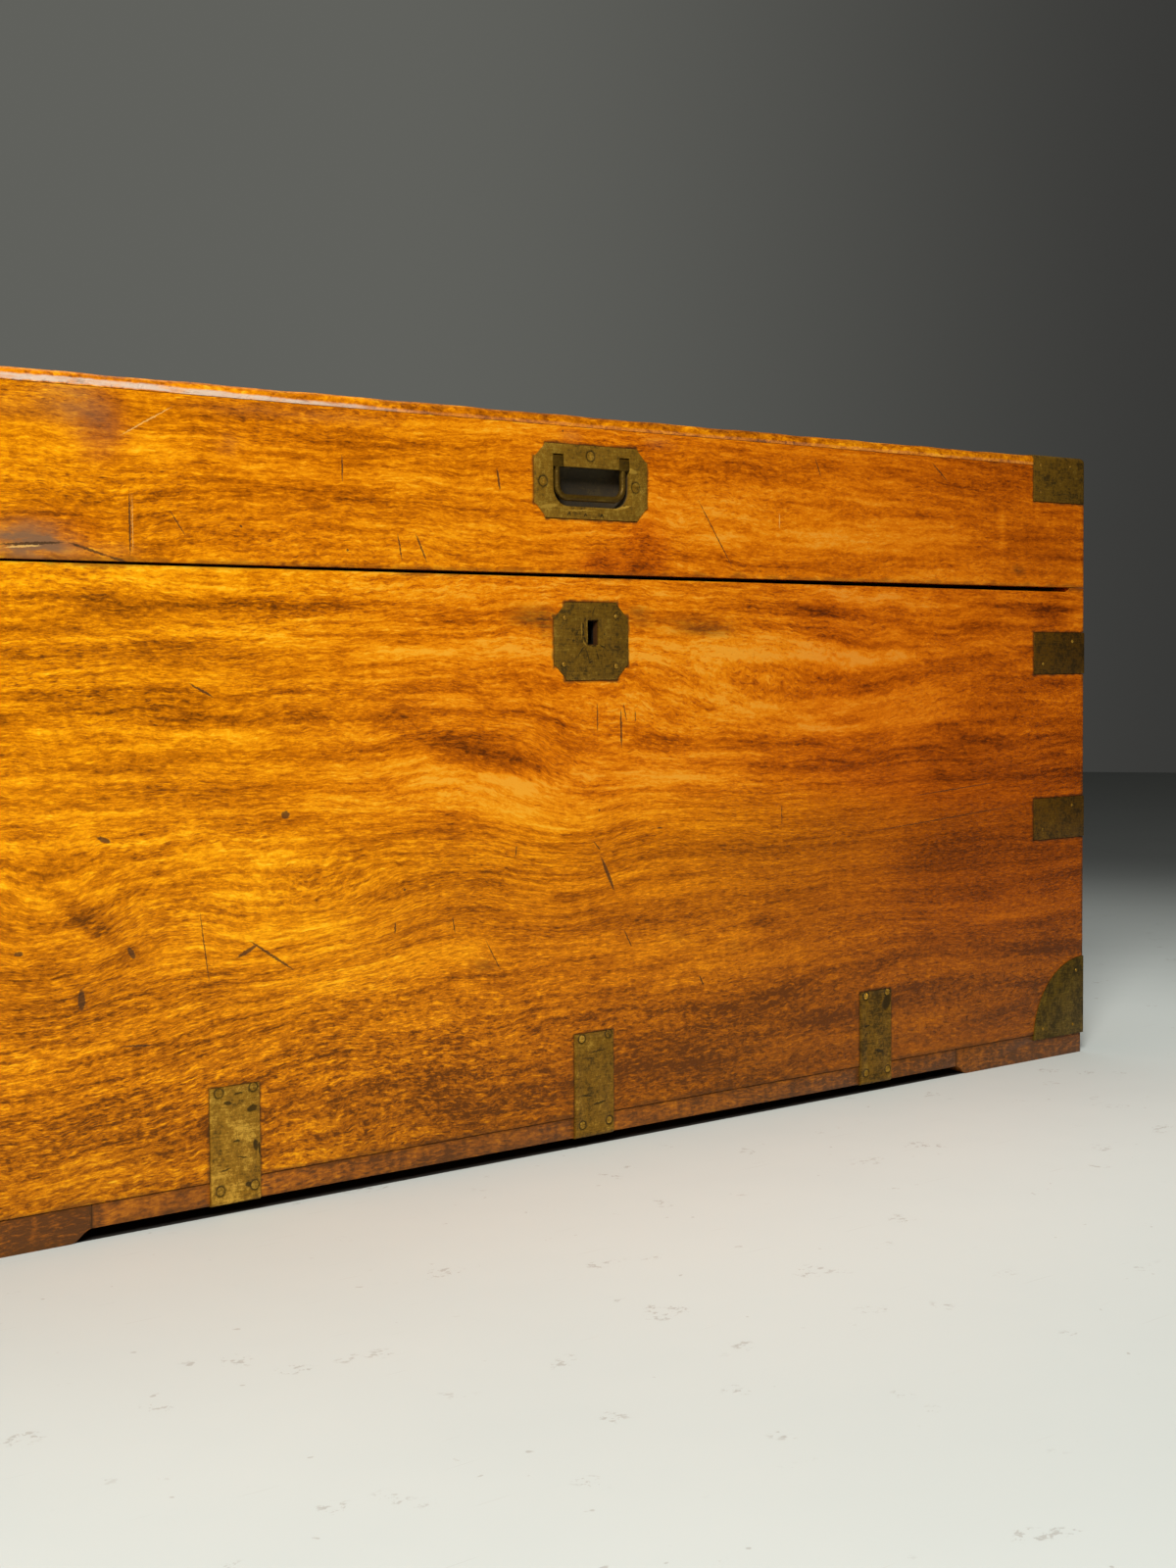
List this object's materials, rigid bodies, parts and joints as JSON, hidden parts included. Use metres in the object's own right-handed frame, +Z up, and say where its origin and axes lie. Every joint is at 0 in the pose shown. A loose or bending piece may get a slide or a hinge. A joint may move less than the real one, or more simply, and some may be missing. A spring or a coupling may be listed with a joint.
{
  "type": "campaign chest",
  "caption": "Brass-bound camphor-wood trunk: full-width hinged lid with a flush drop handle, box lock with escutcheon, carrying handles at the ends, low corner feet.",
  "frame": {"origin": "on the floor, under the middle of the trunk", "axes": "+X to the right along the trunk, the front faces -Y, +Z up"},
  "size_m": [1.0416, 0.5116, 0.4838],
  "materials": {
    "camphor_case": "polished golden-orange camphor wood with wavy grain",
    "camphor_lid": "polished golden-orange camphor wood with wavy grain",
    "camphor_base": "darker red-brown camphor wood, worn polish",
    "aged_brass": "unpolished olive-brown brass with scratches",
    "dark_brass": "dark green-brown tarnished brass",
    "lock_iron": "dark oiled iron"
  },
  "bodies": {
    "carcase": {"front_board": "camphor_case", "back_board": "camphor_case", "left_end_board": "camphor_case", "right_end_board": "camphor_case", "bottom_board": "camphor_case", "front_skirt": "camphor_base", "back_skirt": "camphor_base", "left_skirt": "camphor_base", "right_skirt": "camphor_base", "front_left_foot": "camphor_base", "front_right_foot": "camphor_base", "back_left_foot": "camphor_base", "back_right_foot": "camphor_base", "front_left_base_corner": "dark_brass", "front_right_base_corner": "dark_brass", "back_left_base_corner": "dark_brass", "back_right_base_corner": "dark_brass", "front_left_upper_bracket": "aged_brass", "front_left_lower_bracket": "aged_brass", "front_right_upper_bracket": "aged_brass", "front_right_lower_bracket": "aged_brass", "back_left_upper_bracket": "aged_brass", "back_left_lower_bracket": "aged_brass", "back_right_upper_bracket": "aged_brass", "back_right_lower_bracket": "aged_brass", "front_left_strap": "aged_brass", "front_middle_strap": "aged_brass", "front_right_strap": "aged_brass", "back_left_strap": "aged_brass", "back_middle_strap": "aged_brass", "back_right_strap": "aged_brass", "escutcheon": "aged_brass", "lock_case": "lock_iron", "left_hinge_lower_leaf": "dark_brass", "right_hinge_lower_leaf": "dark_brass", "left_hinge_pin": "dark_brass", "right_hinge_pin": "dark_brass", "left_end_handle_plate": "aged_brass", "right_end_handle_plate": "aged_brass"},
    "lid": {"lid_front_rail": "camphor_lid", "lid_back_rail": "camphor_lid", "lid_left_rail": "camphor_lid", "lid_right_rail": "camphor_lid", "lid_top_board": "camphor_lid", "lid_front_left_corner": "aged_brass", "lid_front_right_corner": "aged_brass", "lid_back_left_corner": "aged_brass", "lid_back_right_corner": "aged_brass", "lid_handle_plate": "aged_brass", "lock_link_plate": "lock_iron", "left_hinge_upper_leaf": "dark_brass", "right_hinge_upper_leaf": "dark_brass"},
    "lid_bail": {"lid_bail": "dark_brass"},
    "left_bail": {"left_bail": "dark_brass"},
    "right_bail": {"right_bail": "dark_brass"},
    "lock_bolt": {"lock_bolt": "lock_iron"}
  },
  "joints": [
    {"name": "lid_hinge", "type": "hinge", "parent": "carcase", "child": "lid", "pos_m": [0, 0.249, 0.37945], "axis": [-1, 0, 0], "range_deg": [0, 100]},
    {"name": "lid_bail_pivot", "type": "hinge", "parent": "lid", "child": "lid_bail", "pos_m": [0.0026, -0.2534, 0.4544], "axis": [-1, 0, 0], "range_deg": [0, 90]},
    {"name": "left_bail_pivot", "type": "hinge", "parent": "carcase", "child": "left_bail", "pos_m": [-0.5175, 0, 0.2837], "axis": [0, 1, 0], "range_deg": [0, 90]},
    {"name": "right_bail_pivot", "type": "hinge", "parent": "carcase", "child": "right_bail", "pos_m": [0.5175, 0, 0.2837], "axis": [0, -1, 0], "range_deg": [0, 90]},
    {"name": "lock_bolt_slide", "type": "slide", "parent": "carcase", "child": "lock_bolt", "axis": [1, 0, 0], "range_m": [0, 0.009]}
  ]
}
